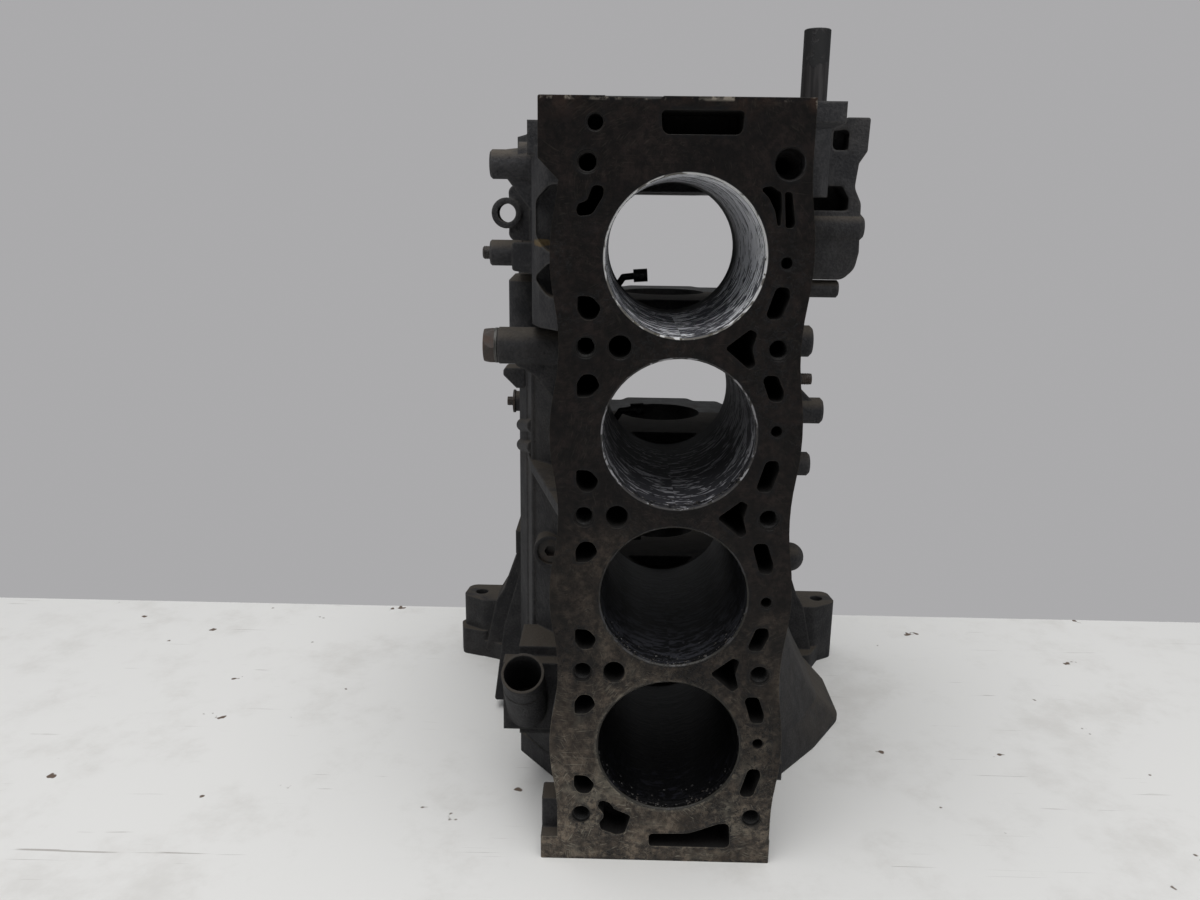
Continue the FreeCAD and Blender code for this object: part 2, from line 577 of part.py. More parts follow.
for ring in ([(-56.6, -24, 2.6), (-55.6, -20.8, 2), (-51, -19, 3), (-48.2, -11.4, 3), (-42.4, -11.6, 3), (-42.8, -17, 6),
              (-48.4, -26, 4), (-55.2, -27, 2.4)],
             [(36.4, -12.2, 1.2), (42, -10.6, 3), (47.4, -14, 2), (48.2, -22, 6), (47.8, -30.6, 1), (46.2, -30.4, 1),
              (44.6, -23, 8), (41, -16.4, 6)],
             [(48.9, -13.2, 1.6), (52.8, -13.8, 1.8), (55.4, -29.4, 3), (54.2, -31.6, 2), (50.4, -31.4, 1.6)]):
    cuts.append(deck_cut([(q[0], top_row + q[1], q[2]) for q in ring], 1.5))

# galleries, elbow bore, plug and stud seats
cuts.append(rod((-gallery_x, -gallery_y, -1), (-gallery_x, -gallery_y, case_len + 1), gallery_r))
for z0, z1 in ((-1, gallery_plug_len), (case_len - gallery_plug_len, case_len + 1)):
    cuts.append(rod((-gallery_x, -gallery_y, z0), (-gallery_x, -gallery_y, z1), gallery_plug_r))
elbow_mouth = elbow_root + elbow_dir * (elbow_len + 1)
cuts.append(Part.makeCylinder(elbow_od / 2 - elbow_wall, elbow_len + 8, elbow_mouth, elbow_dir * -1))
cuts.append(rod((-oil_boss_tip - 1, oil_y, oil_z), (-oil_boss_tip + oil_plug_grip + 4, oil_y, oil_z), oil_plug_r))
cuts.append(rod((-vent_boss_tip - 1, vent_y, vent_z), (-vent_boss_tip + vent_screw_grip + 2, vent_y, vent_z),
                vent_screw_r))
cuts.append(rod((-clip_face - 1, clip_y, clip_z), (-clip_face + clip_stud_grip + 1, clip_y, clip_z), clip_stud_r))
cuts.append(rod((side_stud_face + 1, right_y, side_stud_z), (side_stud_face - side_stud_grip - 1, right_y, side_stud_z),
                side_stud_r))
cuts.append(rod((-lug_x, lug_y - 1, lug_z), (-lug_x, lug_y + 14, lug_z), lug_hole_r))
cuts.append(rod((-side_plug_x, side_plug_y - 1, side_plug_z), (-side_plug_x, side_plug_y + 10, side_plug_z), 8.5))
cuts.append(rod((breather_x, breather_y, breather_boss_z - breather_seat),
                (breather_x, breather_y, breather_boss_z + 1), breather_seat_r))
for z in core_z:
    cuts.append(rod((core_face - core_plug_depth - 3, core_y, z), (core_face + 1, core_y, z), core_plug_r))
for k in range(cylinder_count):
    z = rows[k] + web_thk / 2
    cuts.append(rod((-jet_root - jet_bolt_set, bore_end_y + jet_gap + 6, z + 1),
                    (-jet_root - jet_bolt_set, bore_end_y + jet_gap + 6, z - jet_bolt_grip - 1), jet_bolt_r))

# cast pockets seen on the outside
for down, up in ((78, 42), (102, 83)):
    z0, z1 = block_len - down, block_len - up
    cuts.append(prism([(-pump_side + 3.5, z1 - 8, 7), (-pump_side + 12, z1, 7), (-58, z1), (-58, z0), (-pump_side + 11, z0, 8),
                       (-pump_side + 3.5, z0 + 8, 7)], pump_front - 20, pump_front + 13, "y", 2))
for ring, deep in (([(72, -53.4), (103.5, -53.4), (103.5, -46, 5), (99, -39, 3), (84, -39, 8)], 26),
                   ([(91.5, -18.5, 3), (91.5, -7.5), (101, -6.5, 3), (101, -18.5)], 14)):
    cuts.append(prism([(q[0], block_len + q[1]) + q[2:] for q in ring], bracket_y - 1, bracket_y + deep, "y", 1.5))

# bolt holes of the timing cover, the rear seal carrier and the top of the gearbox flange
for side in (-1, 1):
    for x, y in ((92.5, 44), (92.5, -24), (62, -98)):
        cuts.append(rod((side * x, y, case_len - cover_hole_depth), (side * x, y, block_len + 1), cover_hole_r))
    cuts.append(rod((side * 44, deck_y + 84, -1), (side * 44, deck_y + 84, bell_hole_depth), bell_hole_r))
for i in range(6):
    turn = math.radians(60 * i)
    x, y = seal_hole_ring * math.cos(turn), seal_hole_ring * math.sin(turn)
    cuts.append(rod((x, y, -1), (x, y, cover_hole_depth - 3), cover_hole_r))

# a knocked deck edge at the timing end, left as found
cuts.append(prism([(-43, block_len + 1), (-42, block_len - 0.7), (-24, block_len - 1.0), (-20, block_len - 1.6),
                   (-15, block_len - 1.2), (-12, block_len + 1)], deck_y - 1, deck_y + 2.6, "y", 0))

casting = casting.cut(Part.makeCompound(cuts))
casting = casting.removeSplitter()

nodes = {}
nodes["block_casting"] = casting

# ---- main bearing caps and their bolts ---------------------------------------------------------
cap_profile = [(cap_half, 0), (cap_half, cap_shoulder - 14, 4), (cap_half - 5, cap_shoulder, 4),
               (cap_bolt_half - cap_head_r - 3, cap_shoulder, 4), (cap_bolt_half - cap_head_r - 8, cap_height, 4)]
bolts = []
for k, z in enumerate(reversed(rows)):
    cap = prism(cap_profile + mirrored(cap_profile), z - web_thk / 2, z + web_thk / 2, "z", 2)
    holes = [rod((0, 0, z - web_thk), (0, 0, z + web_thk), main_bore_r)]
    for side in (-1, 1):
        x = side * cap_bolt_half
        holes.append(rod((x, -1, z), (x, cap_height, z), cap_bolt_r + cap_bolt_clearance))
        head = rod((x, cap_shoulder, z), (x, cap_shoulder + 2, z), cap_head_r)
        body = hex_bar((x, cap_shoulder + 1.9, z), (0, 1, 0), cap_head_r * 2 - 2, cap_head_h - 2)
        bolts.append(fuse([rod((x, -cap_bolt_grip, z), (x, cap_shoulder + 1, z), cap_bolt_r), head, body]))
    nodes["main_cap_%d" % (k + 1)] = cap.cut(Part.makeCompound(holes))
nodes["main_cap_bolts"] = Part.makeCompound(bolts)

# ---- piston cooling jets, one under each bore --------------------------------------------------
jet_y = bore_end_y + jet_gap + 6
jet_bolts = []
for k in range(cylinder_count):
    z = rows[k] + web_thk / 2
    x = -jet_root
    base = box(x - jet_base / 2, x + jet_base / 2, jet_y - 6, jet_y + 6, z, z + jet_base_thk)
    rise = rod((x + jet_base / 2 - 3, jet_y, z + jet_base_thk - 1), (x + 13, jet_y, z + jet_rise), jet_stem_r)
    elbow = Part.makeSphere(jet_stem_r, V(x + 13, jet_y, z + jet_rise))
    tip = V(x + jet_reach, jet_y, z + jet_rise + 1)
    arm = rod((x + 13, jet_y, z + jet_rise), tuple(tip), jet_stem_r)
    knob = rod(tuple(tip - V(1.5, 0, 0)), tuple(tip + V(jet_knob_len, 0, 0.7)), jet_knob_r)
    nozzle = rod((tip.x + jet_knob_len / 2, jet_y, tip.z), (tip.x + jet_knob_len / 2, jet_y - jet_knob_r - 1.5, tip.z),
                 1.6)
    jet = fuse([base, rise, elbow, arm, knob, nozzle])
    bx = x - jet_bolt_set
    jet = jet.cut(rod((bx, jet_y, z - 1), (bx, jet_y, z + jet_base_thk + 1), jet_bolt_r + 0.2))
    nodes["piston_jet_%d" % (cylinder_count - k)] = jet
    shank = rod((bx, jet_y, z - jet_bolt_grip), (bx, jet_y, z + jet_base_thk + 1), jet_bolt_r)
    head = hex_bar((bx, jet_y, z + jet_base_thk), (0, 0, 1), jet_bolt_head_r * 1.8, jet_bolt_head_h)
    jet_bolts.append(shank.fuse(head).removeSplitter())
nodes["piston_jet_bolts"] = Part.makeCompound(jet_bolts)

# ---- tube, plugs, studs ------------------------------------------------------------------------
tube = rod((breather_x, breather_y, breather_boss_z), (breather_x, breather_y, breather_top), breather_od / 2)
tube_rim = [e for e in tube.Edges if abs(e.CenterOfMass.z - breather_top) < 1e-3]
tube = tube.makeChamfer(0.4, tube_rim)
seat = rod((breather_x, breather_y, breather_boss_z - breather_seat),
           (breather_x, breather_y, breather_boss_z), breather_seat_r)
nodes["breather_tube"] = tube.fuse(seat).cut(rod((breather_x, breather_y, 0),
                                                 (breather_x, breather_y, breather_top + 1),
                                                 breather_od / 2 - breather_wall))

washer = rod((-oil_boss_tip, oil_y, oil_z), (-oil_boss_tip - oil_washer_thk, oil_y, oil_z), oil_washer_r)
nodes["oil_plug_washer"] = washer.cut(rod((-oil_boss_tip + 1, oil_y, oil_z), (-oil_boss_tip - 5, oil_y, oil_z),
                                          oil_plug_r + 0.3))
head_x = -oil_boss_tip - oil_washer_thk
shank = rod((-oil_boss_tip + oil_plug_grip, oil_y, oil_z), (head_x - 1, oil_y, oil_z), oil_plug_r)
hexhead = hex_bar((head_x, oil_y, oil_z), (-1, 0, 0), oil_plug_hex, oil_plug_head)
cone = Part.makeCone(oil_plug_hex * 0.62, oil_plug_hex * 0.5, oil_plug_head, V(head_x, oil_y, oil_z), V(-1, 0, 0))
nodes["oil_gallery_plug"] = shank.fuse(hexhead.common(cone)).removeSplitter()

vent = rod((-vent_boss_tip + vent_screw_grip, vent_y, vent_z), (-vent_boss_tip - vent_screw_out, vent_y, vent_z),
           vent_screw_r)
vent_rim = [e for e in vent.Edges if abs(e.CenterOfMass.x + vent_boss_tip + vent_screw_out) < 1e-3]
nodes["vent_screw"] = vent.makeChamfer(0.7, vent_rim)

washer = rod((-clip_face, clip_y, clip_z), (-clip_face - clip_washer_thk, clip_y, clip_z), clip_washer_r)
nodes["clip_washer"] = washer.cut(rod((-clip_face + 1, clip_y, clip_z), (-clip_face - 5, clip_y, clip_z),
                                      clip_stud_r + 0.2))
nodes["clip_stud"] = rod((-clip_face + clip_stud_grip, clip_y, clip_z),
                         (-clip_face - clip_washer_thk - clip_stud_out, clip_y, clip_z), clip_stud_r)
nodes["bracket_stud"] = rod((side_stud_face - side_stud_grip, right_y, side_stud_z),
                            (side_stud_face + side_stud_out, right_y, side_stud_z), side_stud_r)

plug = rod((-side_plug_x, side_plug_y + 2, side_plug_z), (-side_plug_x, side_plug_y + 10, side_plug_z), 8.5)
nodes["side_gallery_plug"] = plug.cut(hex_bar((-side_plug_x, side_plug_y + 1, side_plug_z), (0, 1, 0),
                                              socket_r * 1.8, socket_depth))

for name, z0, z1, way in (("rear_gallery_plug", 1.0, gallery_plug_len, 1),
                          ("front_gallery_plug", case_len - 1.0, case_len - gallery_plug_len, -1)):
    plug = rod((-gallery_x, -gallery_y, z0), (-gallery_x, -gallery_y, z1), gallery_plug_r)
    nodes[name] = plug.cut(hex_bar((-gallery_x, -gallery_y, z0 - way), (0, 0, way), socket_r * 1.8, socket_depth))

for name, z in zip(("core_plug_lower", "core_plug_middle", "core_plug_upper"), core_z):
    face_x = core_face - 1.0
    cup = rod((face_x - core_plug_depth, core_y, z), (face_x, core_y, z), core_plug_r)
    edge = [e for e in cup.Edges if abs(e.CenterOfMass.x - face_x + core_plug_depth) < 1e-3]
    cup = cup.makeChamfer(1.8, edge)
    hollow = rod((face_x - core_plug_depth + core_plug_wall, core_y, z), (face_x + 1, core_y, z),
                 core_plug_r - core_plug_wall)
    nodes[name] = cup.cut(hollow)

for name, shape in nodes.items():
    print(name, len(shape.Solids), round(shape.Volume / 1000, 2), "cm3", shape.isValid())
    shape.exportStep("parts/%s.step" % name)
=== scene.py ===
import json
import random
from math import cos, pi, sin

import bpy
import bmesh
from mathutils import Matrix, Vector


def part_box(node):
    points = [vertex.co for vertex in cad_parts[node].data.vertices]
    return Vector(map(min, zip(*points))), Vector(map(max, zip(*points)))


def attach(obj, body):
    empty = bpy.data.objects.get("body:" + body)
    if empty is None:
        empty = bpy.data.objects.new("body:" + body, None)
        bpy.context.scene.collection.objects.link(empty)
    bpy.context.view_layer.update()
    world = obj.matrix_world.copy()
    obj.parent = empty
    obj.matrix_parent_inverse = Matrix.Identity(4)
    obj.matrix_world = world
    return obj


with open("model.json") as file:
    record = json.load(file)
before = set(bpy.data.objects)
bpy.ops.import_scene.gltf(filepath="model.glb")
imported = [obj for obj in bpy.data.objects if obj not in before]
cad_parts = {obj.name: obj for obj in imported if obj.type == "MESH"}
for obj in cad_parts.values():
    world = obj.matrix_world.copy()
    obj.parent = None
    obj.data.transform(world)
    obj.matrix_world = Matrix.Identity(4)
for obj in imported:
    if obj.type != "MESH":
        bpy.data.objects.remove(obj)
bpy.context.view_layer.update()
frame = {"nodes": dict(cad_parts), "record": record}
print("frame loaded:", len(frame["nodes"]), "nodes")

# places read from the frame, in metres
mounts = {m["name"]: m for m in frame["record"]["mounts"]}
firstBore = Vector(mounts["cylinder_bore_4"]["pos_m"])
nextBore = Vector(mounts["cylinder_bore_3"]["pos_m"])
bore = {
    "radius": mounts["cylinder_bore_1"]["dims"]["r_mm"] / 1000,
    "pitch": nextBore.z - firstBore.z,
    "lowest": firstBore.z,
    "end": firstBore.y + mounts["cylinder_bore_1"]["dims"]["length_mm"] / 2000,
}
deckY = mounts["deck_face"]["pos_m"][1]
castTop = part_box("block_casting")[1].z


# node helpers
def addNode(tree, kind, inputs=None, **settings):
    node = tree.nodes.new(kind)
    for key, value in settings.items():
        setattr(node, key, value)
    for key, value in (inputs or {}).items():
        plug(tree, value, node.inputs[key])
    return node


def plug(tree, value, socket):
    if isinstance(value, bpy.types.NodeSocket):
        tree.links.new(value, socket)
    else:
        socket.default_value = value


def maths(tree, operation, a, b=0.0):
    return addNode(tree, "ShaderNodeMath", {0: a, 1: b}, operation=operation).outputs[0]


def added(tree, a, b):
    return maths(tree, "ADD", a, b)


def less(tree, a, b):
    return maths(tree, "SUBTRACT", a, b)


def product(tree, *values):
    total = values[0]
    for value in values[1:]:
        total = maths(tree, "MULTIPLY", total, value)
    return total


def strongest(tree, *values):
    total = values[0]
    for value in values[1:]:
        total = maths(tree, "MAXIMUM", total, value)
    return total


def unlike(tree, value):
    return less(tree, 1.0, value)


def between(tree, value, low, high, out=(0.0, 1.0)):  # smooth step of a value
    ends = {0: value, 1: low, 2: high, 3: out[0], 4: out[1]}
    return addNode(tree, "ShaderNodeMapRange", ends, interpolation_type="SMOOTHSTEP").outputs[0]


def noise(tree, place, scale, detail=4.0, rough=0.55, warp=0.0):
    given = {"Vector": place, "Scale": scale, "Detail": detail, "Roughness": rough, "Distortion": warp}
    return addNode(tree, "ShaderNodeTexNoise", given).outputs["Fac"]


def stretched(tree, place, scale):
    return addNode(tree, "ShaderNodeMapping", {"Vector": place, "Scale": scale}).outputs[0]


def blendColour(tree, factor, a, b, mode="MIX"):
    node = addNode(tree, "ShaderNodeMix", data_type="RGBA", blend_type=mode, clamp_factor=True)
    plug(tree, factor, node.inputs[0])
    plug(tree, a, node.inputs[6])
    plug(tree, b, node.inputs[7])
    return node.outputs[2]


def blendValue(tree, factor, a, b):
    node = addNode(tree, "ShaderNodeMix", data_type="FLOAT", clamp_factor=True)
    plug(tree, factor, node.inputs[0])
    plug(tree, a, node.inputs[2])
    plug(tree, b, node.inputs[3])
    return node.outputs[0]


def shade(tree, factor, colour, dark, light):  # the colour times one of two tones
    return blendColour(tree, 1.0, colour, blendColour(tree, factor, dark, light), "MULTIPLY")


def newGroup(name, inputs, outputs):
    group = bpy.data.node_groups.new(name, "ShaderNodeTree")
    for label, kind, value in inputs:
        socket = group.interface.new_socket(name=label, in_out="INPUT", socket_type=kind)
        if value is not None:
            socket.default_value = value
    for label, kind in outputs:
        group.interface.new_socket(name=label, in_out="OUTPUT", socket_type=kind)
    start = group.nodes.new("NodeGroupInput")
    end = group.nodes.new("NodeGroupOutput")
    return group, start.outputs, end.inputs


def useGroup(tree, group, inputs):
    node = tree.nodes.new("ShaderNodeGroup")
    node.node_tree = group
    for key, value in inputs.items():
        plug(tree, value, node.inputs[key])
    return node.outputs


def newMaterial(name):
    material = bpy.data.materials.new(name)
    material.use_nodes = True
    tree = material.node_tree
    shader = tree.nodes["Principled BSDF"]
    place = addNode(tree, "ShaderNodeTexCoord").outputs["Object"]
    return material, tree, shader, place


# effects that several finishes share
def makeCastGrain():  # sand-cast skin: fine grain, soft waviness and a few pits
    tree, given, made = newGroup(
        "castGrain",
        [("Place", "NodeSocketVector", None), ("Grain", "NodeSocketFloat", 1.0)],
        [("Height", "NodeSocketFloat"), ("Tone", "NodeSocketFloat")])
    place = given["Place"]
    grain = noise(tree, place, 620.0, 3.0, 0.6)
    lumps = noise(tree, place, 95.0, 3.0, 0.5)
    pits = addNode(tree, "ShaderNodeTexVoronoi", {"Vector": place, "Scale": 210.0}).outputs["Distance"]
    pits = product(tree, between(tree, pits, 0.05, 0.22), 0.16)
    height = added(tree, product(tree, lumps, 0.9), product(tree, grain, given["Grain"], 0.55))
    plug(tree, added(tree, height, pits), made["Height"])
    plug(tree, added(tree, product(tree, grain, 0.5), product(tree, lumps, 0.5)), made["Tone"])
    return tree


def makeSwirls():  # short arcs left by a hand sander, each layer round centres of its own
    tree, given, made = newGroup(
        "swirlScratches",
        [("Place", "NodeSocketVector", None), ("Spread", "NodeSocketFloat", 12.0),
         ("Fine", "NodeSocketFloat", 1300.0)],
        [("Mask", "NodeSocketFloat")])
    x, y, z = addNode(tree, "ShaderNodeSeparateXYZ", {0: given["Place"]}).outputs
    layers = []
    for shift in (0.0, 0.37, 0.81):
        flat = addNode(tree, "ShaderNodeCombineXYZ", {0: added(tree, x, shift), 1: z}).outputs[0]
        cell = addNode(tree, "ShaderNodeTexVoronoi", {"Vector": flat, "Scale": given["Spread"]},
                       voronoi_dimensions="2D").outputs["Position"]
        arm = addNode(tree, "ShaderNodeVectorMath", {0: flat, 1: cell}, operation="SUBTRACT").outputs[0]
        reach = addNode(tree, "ShaderNodeVectorMath", {0: arm}, operation="LENGTH").outputs["Value"]
        away = addNode(tree, "ShaderNodeSeparateXYZ", {0: arm}).outputs
        turn = product(tree, maths(tree, "ARCTAN2", away[1], away[0]), 5.0)
        polar = {0: product(tree, reach, given["Fine"]), 1: turn, 2: shift * 9}
        polar = addNode(tree, "ShaderNodeCombineXYZ", polar).outputs[0]
        lines = between(tree, noise(tree, polar, 1.0, 1.0), 0.60, 0.74)
        patch = between(tree, noise(tree, flat, 30.0, 3.0), 0.42, 0.62)
        layers.append(product(tree, lines, patch))
    plug(tree, strongest(tree, *layers), made["Mask"])
    return tree


def makeStains():  # soft patches with a ragged edge
    tree, given, made = newGroup(
        "stainPatches",
        [("Place", "NodeSocketVector", None), ("Size", "NodeSocketFloat", 18.0),
         ("Amount", "NodeSocketFloat", 0.5)],
        [("Mask", "NodeSocketFloat")])
    wide = noise(tree, given["Place"], given["Size"], 5.0, 0.62, 0.6)
    level = unlike(tree, given["Amount"])
    plug(tree, between(tree, wide, less(tree, level, 0.10), added(tree, level, 0.14)), made["Mask"])
    return tree


castGrain = makeCastGrain()
swirlScratches = makeSwirls()
stainPatches = makeStains()


def softEdges(tree, radius, samples=6, turned=(0.985, 0.86)):  # rounded corners, and a mask of them
    rounded = addNode(tree, "ShaderNodeBevel", {"Radius": radius}, samples=samples).outputs[0]
    flat = addNode(tree, "ShaderNodeNewGeometry").outputs["Normal"]
    turn = addNode(tree, "ShaderNodeVectorMath", {0: rounded, 1: flat}, operation="DOT_PRODUCT")
    return rounded, between(tree, turn.outputs["Value"], *turned)


def finishShader(tree, shader, colour, roughness, metallic, height, normal, depth):
    plug(tree, colour, shader.inputs["Base Color"])
    plug(tree, roughness, shader.inputs["Roughness"])
    plug(tree, metallic, shader.inputs["Metallic"])
    bump = addNode(tree, "ShaderNodeBump", {"Height": height, "Distance": depth})
    if normal is not None:
        plug(tree, normal, bump.inputs["Normal"])
    plug(tree, bump.outputs[0], shader.inputs["Normal"])


# the casting: sand-cast skin, sanded deck, worn bores
castLook = {
    "corner": 0.0024,
    "machinedCorner": 0.0006,
    "bump": 0.0011,
    # skin
    "skin": (0.017, 0.017, 0.019, 1),
    "skinPale": (0.040, 0.039, 0.040, 1),
    "skinTones": ((0.84, 0.83, 0.83, 1), (1.12, 1.12, 1.14, 1)),  # at the gearbox end, at the timing end
    "skinSpan": (0.18, 0.42),
    "skinRoughness": 0.78,
    "dust": (0.078, 0.064, 0.048, 1),
    # painted highlight: the lighter colour given to the corners of the skin
    "edge": (0.090, 0.086, 0.080, 1),
    # painted shade inside the passages
    "passage": (0.007, 0.006, 0.0055, 1),
    "passageSide": 0.0576,
    "passageDepth": 0.070,
    "ochre": (0.125, 0.088, 0.042, 1),
    "ochrePlace": (-0.0775, 0.0, 0.365),
    "ochreReach": 0.0066,
    # deck
    "deckDark": (0.0085, 0.0060, 0.0058, 1),
    "deckPale": (0.112, 0.094, 0.076, 1),
    "deckSpan": (0.212, -0.03),  # heights between which the dark deck turns pale
    "deckSway": 0.30,
    "deckStain": (0.034, 0.022, 0.013, 1),
    "deckRoughness": (0.46, 0.64),
    "mottle": ((0.38, 0.36, 0.35, 1), (1.30, 1.26, 1.20, 1)),
    "scratch": (0.23, 0.21, 0.165, 1),
    "rust": (0.055, 0.030, 0.021, 1),
    "rustDrop": 0.014,
    "chip": (0.34, 0.30, 0.25, 1),
    "chipDrop": 0.0026,
    "crustSpan": (0.40, 0.33),
    "ragged": 0.0042,
    "raggedSide": 0.0580,
    "rimWidth": 0.0030,
    # bores: wall colour of each from the gearbox end up; the last number sets how little of it is bare
    "bores": ((0.0, (0.012, 0.012, 0.017, 0.58)), (0.25, (0.036, 0.037, 0.045, 0.52)),
              (0.5, (0.34, 0.34, 0.36, 0.515)), (0.75, (0.93, 0.94, 0.97, 0.466))),
    "stroke": (0.09, 0.09, 0.10, 1),
    "oil": (0.004, 0.004, 0.005, 1),
    "ringLine": (0.0046, 0.0060),  # depth of the dark line that the top ring left
    "tail": (0.112, 0.140),  # depth where the wall turns dark
    "chamfer": 0.0016,
}


def castPlaces(tree, look, place):  # which bore a point belongs to, and what kind of face it is on
    x, y, z = addNode(tree, "ShaderNodeSeparateXYZ", {0: place}).outputs
    row = maths(tree, "DIVIDE", less(tree, z, bore["lowest"] - bore["pitch"] / 2), bore["pitch"])
    cell = maths(tree, "MINIMUM", maths(tree, "MAXIMUM", maths(tree, "FLOOR", row), 0.0), 3.0)
    local = product(tree, less(tree, less(tree, row, cell), 0.5), bore["pitch"])
    flatPlace = addNode(tree, "ShaderNodeCombineXYZ", {0: x, 1: local, 2: 0.0}).outputs[0]
    radius = addNode(tree, "ShaderNodeVectorMath", {0: flatPlace}, operation="LENGTH").outputs["Value"]
    depth = less(tree, y, deckY)
    inBore = product(tree, between(tree, radius, bore["radius"] + 0.0011, bore["radius"] + 0.0006),
                     between(tree, y, bore["end"] + 0.0006, bore["end"] - 0.0004))
    onDeck = product(tree, between(tree, depth, 0.0009, 0.0003), unlike(tree, inBore))
    machined = strongest(tree, inBore, onDeck)
    # the mask of the corners also places the painted highlights
    rounded, edge = softEdges(tree, blendValue(tree, machined, look["corner"], look["machinedCorner"]))
    side = maths(tree, "ABSOLUTE", x)
    return {"place": place, "x": x, "z": z, "side": side, "cell": cell, "local": local, "radius": radius,
            "depth": depth, "inBore": inBore, "onDeck": onDeck, "rounded": rounded, "edge": edge}


def castSkin(tree, look, at, grain):  # sand-cast faces, dusty where they look up
    place = at["place"]
    normal = addNode(tree, "ShaderNodeNewGeometry").outputs["Normal"]
    up = addNode(tree, "ShaderNodeSeparateXYZ", {0: normal}).outputs[2]
    skin = blendColour(tree, between(tree, grain["Tone"], 0.38, 0.66), look["skin"], look["skinPale"])
    dusty = useGroup(tree, stainPatches, {"Place": place, "Size": 26.0, "Amount": 0.62})["Mask"]
    dusty = product(tree, between(tree, up, 0.15, 0.85), dusty)
    drift = useGroup(tree, stainPatches, {"Place": place, "Size": 9.0, "Amount": 0.42})["Mask"]
    dusty = strongest(tree, dusty, product(tree, drift, 0.25))
    skin = blendColour(tree, product(tree, dusty, 0.75), skin, look["dust"])
    # corners painted lighter, a painted highlight
    skin = blendColour(tree, product(tree, at["edge"], grain["Tone"], 0.75), skin, look["edge"])
    skin = shade(tree, between(tree, at["z"], *look["skinSpan"]), skin, *look["skinTones"])

    # painted shade: the walls of the passages that open in the deck are painted dark
    passageShade = product(tree, between(tree, at["side"], look["passageSide"] + 0.001, look["passageSide"]),
                     between(tree, at["depth"], 0.0, 0.0008),
                     between(tree, at["depth"], look["passageDepth"] + 0.01, look["passageDepth"]),
                     between(tree, at["z"], 0.0, 0.002), between(tree, at["z"], castTop, castTop - 0.002))
    skin = blendColour(tree, passageShade, skin, look["passage"])

    # one ochre smear on the left wall
    offset = addNode(tree, "ShaderNodeVectorMath", {0: place, 1: look["ochrePlace"]}, operation="SUBTRACT")
    offset = stretched(tree, offset.outputs[0], (1.0, 0.0, 2.3))
    reach = addNode(tree, "ShaderNodeVectorMath", {0: offset}, operation="LENGTH").outputs["Value"]
    reach = added(tree, reach, product(tree, noise(tree, place, 240.0), 0.006))
    smear = between(tree, reach, look["ochreReach"] + 0.0022, look["ochreReach"])
    return blendColour(tree, smear, skin, look["ochre"])


